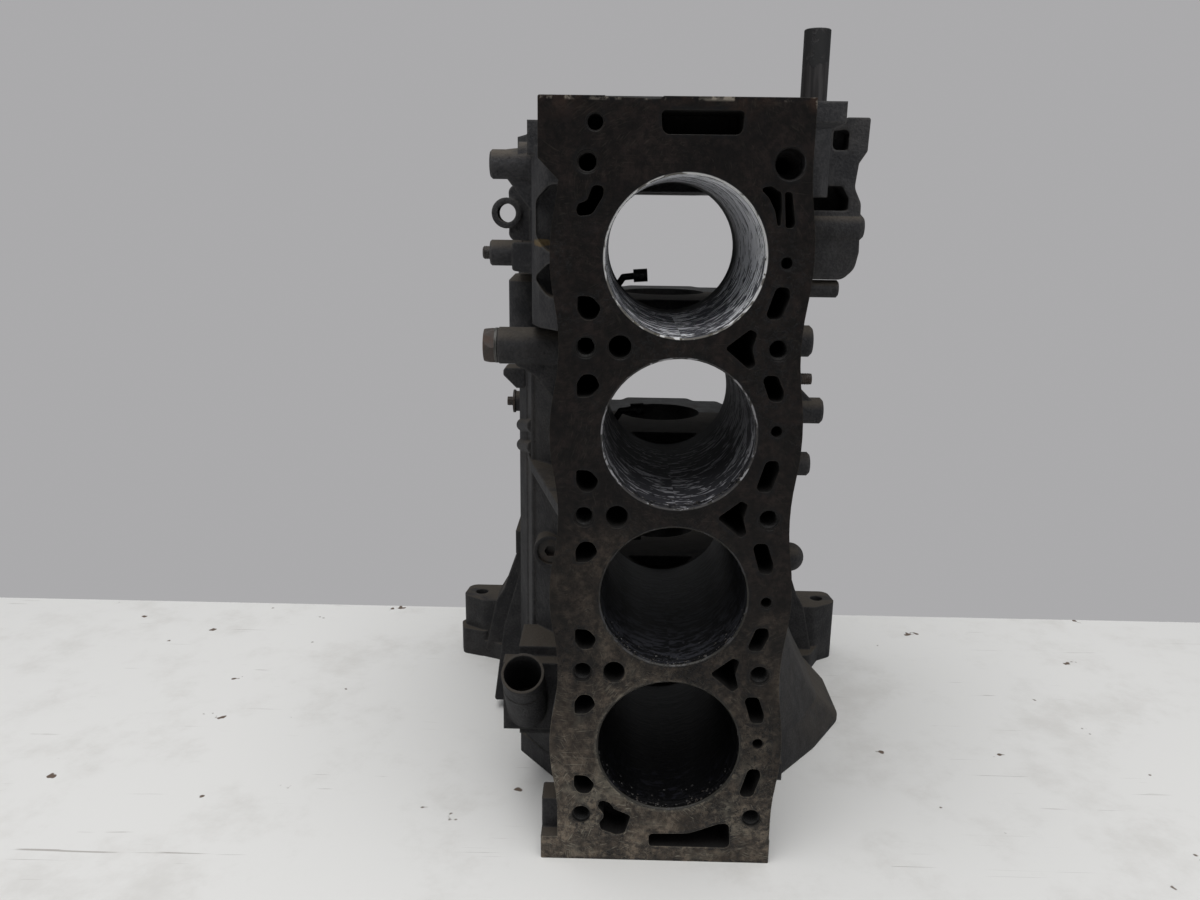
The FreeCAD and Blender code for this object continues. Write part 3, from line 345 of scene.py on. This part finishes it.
def castDeck(tree, look, at):  # dark and oily at the timing end, sanded paler towards the gearbox end
    place = at["place"]
    sway = product(tree, less(tree, noise(tree, place, 11.0, 5.0, 0.62), 0.5), look["deckSway"])
    worn = between(tree, added(tree, at["z"], sway), *look["deckSpan"])
    deck = blendColour(tree, worn, look["deckDark"], look["deckPale"])
    mottle = noise(tree, place, 62.0, 5.0, 0.68)
    speckle = noise(tree, place, 250.0, 4.0, 0.75)
    for pattern in (mottle, speckle):
        deck = shade(tree, between(tree, pattern, 0.38, 0.64), deck, *look["mottle"])
    stain = useGroup(tree, stainPatches, {"Place": place, "Size": 17.0, "Amount": 0.46})["Mask"]
    stain = product(tree, stain, between(tree, worn, 0.0, 0.6), 0.5)
    deck = blendColour(tree, stain, deck, look["deckStain"])
    speck = between(tree, noise(tree, place, 330.0, 3.0, 0.7), 0.56, 0.70)
    deck = blendColour(tree, product(tree, speck, 0.6), deck, look["deckDark"])

    # bare metal: patches, rims of the bores, sander arcs and straight brush marks
    rim = between(tree, at["radius"], bore["radius"] + look["rimWidth"], bore["radius"] + 0.0012)
    bare = product(tree, between(tree, noise(tree, place, 34.0, 4.0, 0.6), 0.50, 0.66), 0.8)
    bare = product(tree, strongest(tree, bare, rim), between(tree, worn, 0.15, 0.75))
    deck = blendColour(tree, product(tree, bare, 0.45), deck, look["scratch"])
    swirls = useGroup(tree, swirlScratches, {"Place": place, "Spread": 13.0, "Fine": 1300.0})["Mask"]
    brushed = noise(tree, stretched(tree, place, (30.0, 1.0, 1500.0)), 1.0, 2.0)
    brushed = product(tree, between(tree, brushed, 0.62, 0.76), between(tree, mottle, 0.46, 0.60))
    swirls = product(tree, strongest(tree, swirls, brushed), between(tree, worn, 0.05, 0.9, (0.05, 0.75)))
    deck = blendColour(tree, swirls, deck, look["scratch"])

    # rust and chips along the timing edge, the chips deeper at the right corner
    rusty = product(tree, between(tree, at["z"], castTop - look["rustDrop"], castTop - 0.0002),
                    between(tree, noise(tree, place, 45.0, 4.0), 0.40, 0.62))
    deck = blendColour(tree, product(tree, rusty, 0.5), deck, look["rust"])
    lowered = added(tree, at["z"], product(tree, between(tree, at["x"], 0.045, 0.060), 0.003))
    chips = product(tree, between(tree, lowered, castTop - look["chipDrop"], castTop - 0.0010),
                    between(tree, noise(tree, place, 75.0, 4.0, 0.7), 0.50, 0.60))
    deck = blendColour(tree, product(tree, chips, 0.7), deck, look["chip"])

    # oily crust round the upper bores, ragged dirt at the mouths of the passages, worn edges with a painted
    # highlight
    crust = product(tree, between(tree, noise(tree, place, 420.0, 4.0, 0.72), 0.50, 0.66),
                    between(tree, noise(tree, place, 24.0, 3.0), 0.44, 0.60),
                    between(tree, at["z"], *look["crustSpan"]))
    deck = blendColour(tree, product(tree, crust, 0.7), deck, look["oil"])
    mouths = softEdges(tree, look["ragged"], turned=(0.998, 0.965))[1]
    mouths = product(tree, mouths, between(tree, noise(tree, place, 210.0, 3.0, 0.65), 0.44, 0.52),
                     between(tree, at["side"], look["raggedSide"] + 0.002, look["raggedSide"]))
    deck = blendColour(tree, product(tree, mouths, 0.92), deck, look["oil"])
    # worn edges, lightened also as a painted highlight
    edgeWearAndHighlight = product(tree, at["edge"], between(tree, worn, 0.0, 0.7, (0.10, 0.60)))
    deck = blendColour(tree, edgeWearAndHighlight, deck, look["scratch"])

    fine = noise(tree, place, 900.0, 2.0, 0.6)
    rough = less(tree, between(tree, fine, 0.3, 0.8, look["deckRoughness"]), product(tree, crust, 0.22))
    rough = less(tree, rough, product(tree, swirls, 0.10))
    height = less(tree, product(tree, fine, 0.10), product(tree, swirls, 0.08))
    height = added(tree, product(tree, crust, 0.45), height)
    return deck, rough, height, worn


def castBores(tree, look, at):  # bright and scored at the timing end, black at the gearbox end
    cell, depth = at["cell"], at["depth"]
    around = product(tree, maths(tree, "ARCTAN2", at["x"], at["local"]), bore["radius"])
    unrolled = addNode(tree, "ShaderNodeCombineXYZ", {0: around, 1: depth, 2: cell}).outputs[0]
    ramp = addNode(tree, "ShaderNodeValToRGB", {"Fac": maths(tree, "DIVIDE", added(tree, cell, 0.5), 4.0)})
    ramp.color_ramp.interpolation = "CONSTANT"
    for step, (stop, colour) in enumerate(look["bores"]):
        point = ramp.color_ramp.elements[step] if step < 2 else ramp.color_ramp.elements.new(stop)
        point.position = stop
        point.color = colour
    wall, level = ramp.outputs
    bright = between(tree, cell, 1.2, 2.8)
    strokes = noise(tree, stretched(tree, unrolled, (95.0, 330.0, 1.0)), 1.0, 2.0, 0.60, 0.9)
    coarse = noise(tree, stretched(tree, unrolled, (26.0, 60.0, 1.0)), 1.0, 4.0, 0.62)
    mixed = added(tree, product(tree, strokes, 0.62), product(tree, coarse, 0.38))
    # painted shade and painted light on the brighter bores: less bare metal on the lower wall, more on the
    # right wall
    under = between(tree, at["local"], 0.012, -0.034)
    level = added(tree, level, product(tree, under, bright, 0.075))
    level = less(tree, level, product(tree, between(tree, at["x"], 0.015, 0.036), bright, 0.025))
    bareWallAndPaintedLight = between(tree, less(tree, mixed, level), -0.016, 0.016)
    wall = blendColour(tree, bareWallAndPaintedLight, blendColour(tree, 1.0, wall, look["stroke"], "MULTIPLY"), wall)

    # what darkens the wall: specks at the mouth, the ring line, and a darkening towards the far end
    lineStart, lineEnd = look["ringLine"]
    ringLine = product(tree, between(tree, depth, lineStart - 0.0008, lineStart),
                       between(tree, depth, lineEnd + 0.0010, lineEnd), 0.85)
    specks = noise(tree, stretched(tree, unrolled, (210.0, 190.0, 1.0)), 1.0, 3.0, 0.72)
    nearMouth = between(tree, depth, 0.030, 0.006)
    limit = less(tree, 0.70, product(tree, nearMouth, added(tree, 0.05, product(tree, under, 0.09))))
    specks = between(tree, less(tree, specks, limit), 0.0, 0.02)
    tail = added(tree, depth, product(tree, less(tree, coarse, 0.5), 0.05))
    foul = strongest(tree, specks, ringLine, between(tree, tail, *look["tail"]))
    wall = blendColour(tree, foul, wall, look["oil"])
    chamfer = product(tree, between(tree, depth, look["chamfer"], look["chamfer"] / 2),
                      between(tree, coarse, 0.30, 0.46), between(tree, cell, 2.2, 2.8, (0.12, 0.42)))
    wall = blendColour(tree, chamfer, wall, look["scratch"])

    rough = blendValue(tree, between(tree, cell, 0.8, 1.8), 0.44, 0.62)
    metal = product(tree, at["inBore"], unlike(tree, foul), bareWallAndPaintedLight, blendValue(tree, bright, 0.15, 0.20))
    height = added(tree, product(tree, mixed, 0.30), product(tree, foul, 0.22))
    dull = product(tree, at["inBore"], strongest(tree, foul, unlike(tree, bareWallAndPaintedLight)),
                   between(tree, cell, 1.4, 2.8))
    return wall, rough, metal, height, dull


def makeCastIron(look):
    material, tree, shader, place = newMaterial("castIron")
    at = castPlaces(tree, look, place)
    grain = useGroup(tree, castGrain, {"Place": place, "Grain": 1.0})
    skin = castSkin(tree, look, at, grain)
    deck, deckRough, deckHeight, worn = castDeck(tree, look, at)
    wall, wallRough, metal, wallHeight, dull = castBores(tree, look, at)
    onDeck, inBore = at["onDeck"], at["inBore"]
    colour = blendColour(tree, inBore, blendColour(tree, onDeck, skin, deck), wall)
    rough = blendValue(tree, inBore, blendValue(tree, onDeck, look["skinRoughness"], deckRough), wallRough)
    height = blendValue(tree, inBore, blendValue(tree, onDeck, grain["Height"], deckHeight), wallHeight)
    finishShader(tree, shader, colour, rough, metal, height, at["rounded"], look["bump"])

    # oily deck and fouled walls shine less
    gloss = blendValue(tree, product(tree, onDeck, unlike(tree, worn)), 0.36, 0.19)
    plug(tree, blendValue(tree, dull, gloss, 0.03), shader.inputs["Specular IOR Level"])
    return material


# iron and steel of the fitted pieces
ironLook = {
    "cap": {
        "low": (0.016, 0.016, 0.017, 1), "high": (0.046, 0.044, 0.043, 1),
        "rust": (0.040, 0.027, 0.019, 1), "rusty": 0.36, "roughness": (0.42, 0.68),
        "metal": 0.15, "corner": 0.0008, "grain": 0.5,
    },
    "bolt": {
        "low": (0.012, 0.012, 0.013, 1), "high": (0.035, 0.034, 0.033, 1),
        "rust": (0.050, 0.028, 0.016, 1), "rusty": 0.34, "roughness": (0.34, 0.55),
        "metal": 0.4, "corner": 0.0005, "grain": 0.2,
    },
    "jet": {
        "low": (0.006, 0.006, 0.006, 1), "high": (0.020, 0.019, 0.017, 1),
        "rust": (0.022, 0.016, 0.010, 1), "rusty": 0.35, "roughness": (0.30, 0.5),
        "metal": 0.3, "corner": 0.0004, "grain": 0.15,
    },
    "plug": {
        "low": (0.030, 0.023, 0.020, 1), "high": (0.075, 0.062, 0.055, 1),
        "rust": (0.066, 0.036, 0.024, 1), "rusty": 0.50, "roughness": (0.5, 0.75),
        "metal": 0.2, "corner": 0.0006, "grain": 0.35,
    },
    "washer": {
        "low": (0.040, 0.039, 0.037, 1), "high": (0.10, 0.096, 0.088, 1),
        "rust": (0.060, 0.036, 0.022, 1), "rusty": 0.4, "roughness": (0.4, 0.6),
        "metal": 0.35, "corner": 0.0003, "grain": 0.15,
    },
    "stud": {
        "low": (0.016, 0.015, 0.014, 1), "high": (0.046, 0.041, 0.037, 1),
        "rust": (0.048, 0.028, 0.016, 1), "rusty": 0.45, "roughness": (0.42, 0.62),
        "metal": 0.3, "corner": 0.0003, "grain": 0.2,
    },
    "thread": {
        "low": (0.004, 0.004, 0.004, 1), "high": (0.018, 0.017, 0.016, 1),
        "rust": (0.012, 0.008, 0.006, 1), "rusty": 0.5, "roughness": (0.5, 0.7),
        "metal": 0.2, "corner": 0.0002, "grain": 0.1,
    },
    "crumb": {
        "low": (0.008, 0.008, 0.009, 1), "high": (0.10, 0.095, 0.09, 1),
        "rust": (0.030, 0.020, 0.014, 1), "rusty": 0.45, "roughness": (0.28, 0.5),
        "metal": 0.05, "corner": 0.0001, "grain": 0.2,
    },
    "core": {
        "low": (0.050, 0.048, 0.044, 1), "high": (0.12, 0.115, 0.105, 1),
        "rust": (0.075, 0.042, 0.022, 1), "rusty": 0.46, "roughness": (0.36, 0.6),
        "metal": 0.4, "corner": 0.0007, "grain": 0.2,
    },
}


def makeIron(name, look):
    material, tree, shader, place = newMaterial(name)
    rounded, edge = softEdges(tree, look["corner"], 4)
    grain = useGroup(tree, castGrain, {"Place": place, "Grain": 1.0})
    colour = blendColour(tree, between(tree, grain["Tone"], 0.36, 0.68), look["low"], look["high"])
    rusty = useGroup(tree, stainPatches, {"Place": place, "Size": 60.0, "Amount": look["rusty"]})["Mask"]
    colour = blendColour(tree, product(tree, rusty, 0.8), colour, look["rust"])
    # painted highlight: the corners are mixed towards white
    shine = blendColour(tree, 0.45, look["high"], (1, 1, 1, 1))
    colour = blendColour(tree, product(tree, edge, 0.25), colour, shine)
    rough = between(tree, grain["Tone"], 0.3, 0.7, look["roughness"])
    rough = added(tree, rough, product(tree, rusty, 0.12))
    metal = product(tree, unlike(tree, rusty), look["metal"])
    height = product(tree, grain["Height"], look["grain"])
    finishShader(tree, shader, colour, rough, metal, height, rounded, 0.0007)
    return material


# the breather tube: dull zinc, old black paint on top, rust at the foot
tubeLook = {
    "steel": (0.070, 0.066, 0.067, 1),
    "steelDark": (0.034, 0.032, 0.033, 1),
    "paint": (0.009, 0.009, 0.010, 1),
    "paintDrop": 0.018,
    "paintRagged": 0.034,
    "rust": (0.085, 0.048, 0.026, 1),
    "rustRise": 0.007,
}


def makeTubeSteel(look):
    material, tree, shader, place = newMaterial("tubeSteel")
    spigot = mounts["breather_spigot"]
    foot = spigot["pos_m"][2] - spigot["dims"]["length_mm"] / 2000
    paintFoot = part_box("breather_tube")[1].z - look["paintDrop"]
    z = addNode(tree, "ShaderNodeSeparateXYZ", {0: place}).outputs[2]
    drawn = noise(tree, stretched(tree, place, (420.0, 420.0, 26.0)), 1.0, 3.0)
    colour = blendColour(tree, between(tree, drawn, 0.35, 0.68), look["steelDark"], look["steel"])
    ragged = noise(tree, stretched(tree, place, (150.0, 150.0, 80.0)), 1.0, 4.0, 0.6)
    level = added(tree, z, product(tree, less(tree, ragged, 0.5), look["paintRagged"]))
    chipped = between(tree, noise(tree, place, 190.0, 3.0, 0.6), 0.56, 0.62)
    painted = product(tree, between(tree, level, paintFoot - 0.001, paintFoot + 0.001),
                      unlike(tree, product(tree, chipped, 0.8)))
    colour = blendColour(tree, painted, colour, look["paint"])
    rusty = product(tree, between(tree, z, foot + look["rustRise"], foot),
                    between(tree, noise(tree, place, 260.0, 3.0), 0.34, 0.56))
    colour = blendColour(tree, rusty, colour, look["rust"])
    rough = blendValue(tree, painted, 0.46, 0.58)
    metal = product(tree, unlike(tree, strongest(tree, painted, rusty)), 0.6)
    height = added(tree, product(tree, painted, 0.25), product(tree, drawn, 0.06))
    finishShader(tree, shader, colour, rough, metal, height, None, 0.0004)
    return material


finishes = {
    "block_casting": makeCastIron(castLook),
    "main_cap": makeIron("capIron", ironLook["cap"]),
    "main_cap_bolts": makeIron("boltSteel", ironLook["bolt"]),
    "piston_jet": makeIron("jetSteel", ironLook["jet"]),
    "oil_gallery_plug": makeIron("plugSteel", ironLook["plug"]),
    "oil_plug_washer": makeIron("washerMetal", ironLook["washer"]),
    "clip_washer": makeIron("clipWasherMetal", ironLook["stud"]),
    "stud": makeIron("studSteel", ironLook["stud"]),
    "core_plug": makeIron("corePlugSteel", ironLook["core"]),
    "breather_tube": makeTubeSteel(tubeLook),
    "thread": makeIron("threadSteel", ironLook["thread"]),
    "crumb": makeIron("depositCrust", ironLook["crumb"]),
}


def finishFor(name):
    if name in finishes:
        return finishes[name]
    for family in ("main_cap", "piston_jet", "core_plug"):
        if name.startswith(family):
            return finishes[family]
    return finishes["stud"]


for name, node in frame["nodes"].items():
    node.data.materials.clear()
    node.data.materials.append(finishFor(name))
print("finishes made:", len(finishes))


# fine pieces on the casting: threads and the crumbs of old deposit at the bore mouths
def newPiece(name, shape, material):
    bmesh.ops.recalc_face_normals(shape, faces=shape.faces)
    mesh = bpy.data.meshes.new(name)
    shape.to_mesh(mesh)
    shape.free()
    mesh.materials.append(material)
    piece = bpy.data.objects.new(name, mesh)
    bpy.context.scene.collection.objects.link(piece)
    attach(piece, "root")
    return piece


def addRidge(shape, start, axis, radius, values, turns, way):  # a thread, way 1 outwards, -1 inwards
    side = axis.orthogonal().normalized()
    half = values["pitch"] * values["fullness"] / 2
    corners = []
    for out, along in ((-values["seat"], -half), (values["height"], 0.0), (-values["seat"], half)):
        corners.append(shape.verts.new(start + side * (radius + way * out) + axis * along))
    lines = [shape.edges.new(corners[:2]), shape.edges.new(corners[1:])]
    bmesh.ops.spin(shape, geom=corners + lines, cent=start, axis=axis, angle=2 * pi * turns,
                   dvec=axis * (values["pitch"] / values["steps"]), steps=values["steps"] * turns,
                   use_duplicate=False)


holeThread = {"pitch": 0.00175, "turns": 10, "steps": 20, "height": 0.0007, "seat": 0.00015,
              "fullness": 0.84, "start": 0.0028}


def makeHoleThreads(values):
    shape = bmesh.new()
    for name in [name for name in mounts if name.startswith("head_bolts")]:
        centre = Vector(mounts[name]["pos_m"])
        spans = mounts[name]["dims"]
        rows = (-1, 1) if "spacing_y_mm" in spans else (0,)
        for side in (-1, 1):
            for row in rows:
                mouth = centre.y if name.endswith("timing_end") and side > 0 else deckY
                start = Vector((centre.x + side * spans["spacing_x_mm"] / 2000, mouth + values["start"],
                                centre.z + row * spans.get("spacing_y_mm", 0) / 2000))
                radius = spans["hole_r_mm"] / 1000
                addRidge(shape, start, Vector((0, 1, 0)), radius, values, values["turns"], -1)
    return newPiece("headBoltThreads", shape, finishes["thread"])


studThread = {
    "pitch": 0.0010, "steps": 18, "height": 0.00030, "seat": 0.00012, "fullness": 0.84, "start": 0.0008,
    "studs": {  # side of the block that the tip is on, turns, slot
        "clip_stud": (-1, 4, "stud_steel"),
        "vent_screw": (-1, 3, "plug_steel"),
        "bracket_stud": (1, 5, "stud_steel"),
    },
}


def makeStudThread(name, side, turns, values):
    low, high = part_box(name)
    axis = Vector((-side, 0, 0))
    middle = (low + high) / 2
    tip = Vector((high.x if side > 0 else low.x, middle.y, middle.z))
    shape = bmesh.new()
    addRidge(shape, tip + axis * values["start"], axis, (high.z - low.z) / 2, values, turns, 1)
    words = name.split("_")
    return newPiece(words[0] + words[1].capitalize() + "Thread", shape, finishes["stud"])


crumbLook = {
    "counts": (110, 110, 130, 30),  # bores from the gearbox end up
    "size": (0.0002, 0.0009), "lumpy": (0.6, 1.25), "flatness": 0.5, "sunk": 0.1,
    "spread": 0.85, "lip": 0.0016, "reach": 0.0045, "deepest": 0.02, "seed": 11,
}


def makeCrumbs(values):
    dice = random.Random(values["seed"])
    shape = bmesh.new()
    for cell, count in enumerate(values["counts"]):
        for step in range(count):
            turn = dice.gauss(-pi / 2, values["spread"])
            size = dice.uniform(*values["size"])
            along = Vector((cos(turn), 0, sin(turn)))
            centre = along * (bore["radius"] - size * values["sunk"])
            centre.y = deckY + values["lip"] + min(dice.expovariate(1 / values["reach"]), values["deepest"])
            centre.z += bore["lowest"] + cell * bore["pitch"]
            lump = bmesh.ops.create_icosphere(shape, subdivisions=1, radius=size)["verts"]
            for corner in lump:
                corner.co *= dice.uniform(*values["lumpy"])
                corner.co -= along * corner.co.dot(along) * values["flatness"]
                corner.co += centre
    return newPiece("depositCrumbs", shape, finishes["crumb"])


makeHoleThreads(holeThread)
for name, (side, turns, slot) in studThread["studs"].items():
    makeStudThread(name, side, turns, studThread)
makeCrumbs(crumbLook)
print("fine pieces made")

# stage: pale bench, plain wall beyond its back edge, soft light
stage = {
    "bench": (0.83, 0.82, 0.80, 1),
    "benchWorn": (0.74, 0.725, 0.70, 1),
    "mark": (0.14, 0.10, 0.075, 1),
    "wall": (0.405, 0.402, 0.410, 1),
    "roughness": 0.75,
    "benchBack": 0.134,
    "reach": 6.0,
    "air": (0.96, 0.98, 1.0, 1),
    "horizon": 0.07,
    "sky": 0.46,
    "lamps": {
        "keyLight": {"place": (-0.12, -0.58, 1.9), "energy": 25.5, "size": 1.6},
        "fillLight": {"place": (1.2, -1.3, 1.1), "energy": 1.6, "size": 1.2},
    },
    "lampAim": (0, -0.1, 0.2),
}


def makeAir(values):  # light from all round, darker near the horizon; the camera sees the wall's colour
    world = bpy.data.worlds.new("softRoom")
    world.use_nodes = True
    bpy.context.scene.world = world
    tree = world.node_tree
    tree.nodes.clear()
    path = addNode(tree, "ShaderNodeLightPath").outputs
    seen = strongest(tree, path["Is Camera Ray"], path["Is Transmission Ray"])
    way = addNode(tree, "ShaderNodeTexCoord").outputs["Generated"]
    up = addNode(tree, "ShaderNodeSeparateXYZ", {0: way}).outputs[2]
    strength = between(tree, up, -0.1, 0.9, (values["horizon"], values["sky"]))
    light = addNode(tree, "ShaderNodeBackground", {"Color": values["air"], "Strength": strength})
    wall = addNode(tree, "ShaderNodeBackground", {"Color": values["wall"], "Strength": 1.0})
    mix = addNode(tree, "ShaderNodeMixShader", {0: seen, 1: light.outputs[0], 2: wall.outputs[0]})
    addNode(tree, "ShaderNodeOutputWorld", {0: mix.outputs[0]})


def makeBenchPaint(values):  # worn pale paint with dark flecks and scored lines
    material, tree, shader, place = newMaterial("benchPaint")
    worn = between(tree, noise(tree, place, 9.0, 6.0, 0.7), 0.48, 0.70)
    paint = blendColour(tree, worn, values["bench"], values["benchWorn"])
    fleck = between(tree, noise(tree, place, 34.0, 3.0, 0.6), 0.700, 0.722)
    line = noise(tree, stretched(tree, place, (7.0, 420.0, 1.0)), 1.0, 2.0, 0.5, 1.2)
    broken = between(tree, noise(tree, place, 11.0), 0.50, 0.58)
    line = product(tree, between(tree, line, 0.70, 0.73), broken)
    paint = blendColour(tree, strongest(tree, fleck, product(tree, line, 0.5)), paint, values["mark"])
    plug(tree, paint, shader.inputs["Base Color"])
    shader.inputs["Roughness"].default_value = values["roughness"]
    return material


def makeWallPaint(values):  # the camera and reflections see it evenly lit
    material, tree, shader = newMaterial("wallFieldPaint")[:3]
    shader.inputs["Base Color"].default_value = values["wall"]
    shader.inputs["Roughness"].default_value = values["roughness"]
    path = addNode(tree, "ShaderNodeLightPath").outputs
    seen = strongest(tree, path["Is Camera Ray"], path["Is Glossy Ray"], path["Is Transmission Ray"])
    glow = addNode(tree, "ShaderNodeEmission", {"Color": values["wall"], "Strength": 1.0})
    mix = addNode(tree, "ShaderNodeMixShader", {0: seen, 1: shader.outputs[0], 2: glow.outputs[0]})
    plug(tree, mix.outputs[0], tree.nodes["Material Output"].inputs[0])
    return material


def makeGround(name, front, back, reach, material):
    shape = bmesh.new()
    bmesh.ops.create_grid(shape, x_segments=1, y_segments=1, size=1.0)
    bmesh.ops.scale(shape, vec=(reach, (back - front) / 2, 1), verts=shape.verts)
    bmesh.ops.translate(shape, vec=(0, (back + front) / 2, 0), verts=shape.verts)
    mesh = bpy.data.meshes.new(name)
    shape.to_mesh(mesh)
    shape.free()
    mesh.materials.append(material)
    piece = bpy.data.objects.new(name, mesh)
    bpy.context.scene.collection.objects.link(piece)


def makeLamp(name, place, energy, size, aim):
    lamp = bpy.data.lights.new(name, "AREA")
    lamp.energy = energy
    lamp.size = size
    holder = bpy.data.objects.new(name, lamp)
    holder.location = place
    holder.rotation_euler = (Vector(aim) - holder.location).to_track_quat("-Z", "Y").to_euler()
    bpy.context.scene.collection.objects.link(holder)


def makeStage(values):
    makeAir(values)
    reach, back = values["reach"], values["benchBack"]
    makeGround("bench", -reach, back, reach, makeBenchPaint(values))
    makeGround("wallField", back, reach, reach, makeWallPaint(values))
    for name, lamp in values["lamps"].items():
        makeLamp(name, aim=values["lampAim"], **lamp)


camera = {"place": (-0.034, -0.7285, 0.382), "pitch": 0.2482, "yaw": -0.0174, "roll": 0.0138, "lens": 28.19}


def makeCamera(values):
    data = bpy.data.cameras.new("camera")
    data.sensor_width = 36.0
    data.lens = values["lens"]
    data.clip_start = 0.02
    holder = bpy.data.objects.new("camera", data)
    turn = Matrix.Rotation(-values["yaw"], 4, "Z") @ Matrix.Rotation(pi / 2 - values["pitch"], 4, "X")
    turn = turn @ Matrix.Rotation(values["roll"], 4, "Z")
    holder.matrix_world = Matrix.Translation(values["place"]) @ turn
    bpy.context.scene.collection.objects.link(holder)
    bpy.context.scene.camera = holder


makeStage(stage)
makeCamera(camera)
bpy.context.scene.view_settings.view_transform = "Standard"
print("stage and camera made")
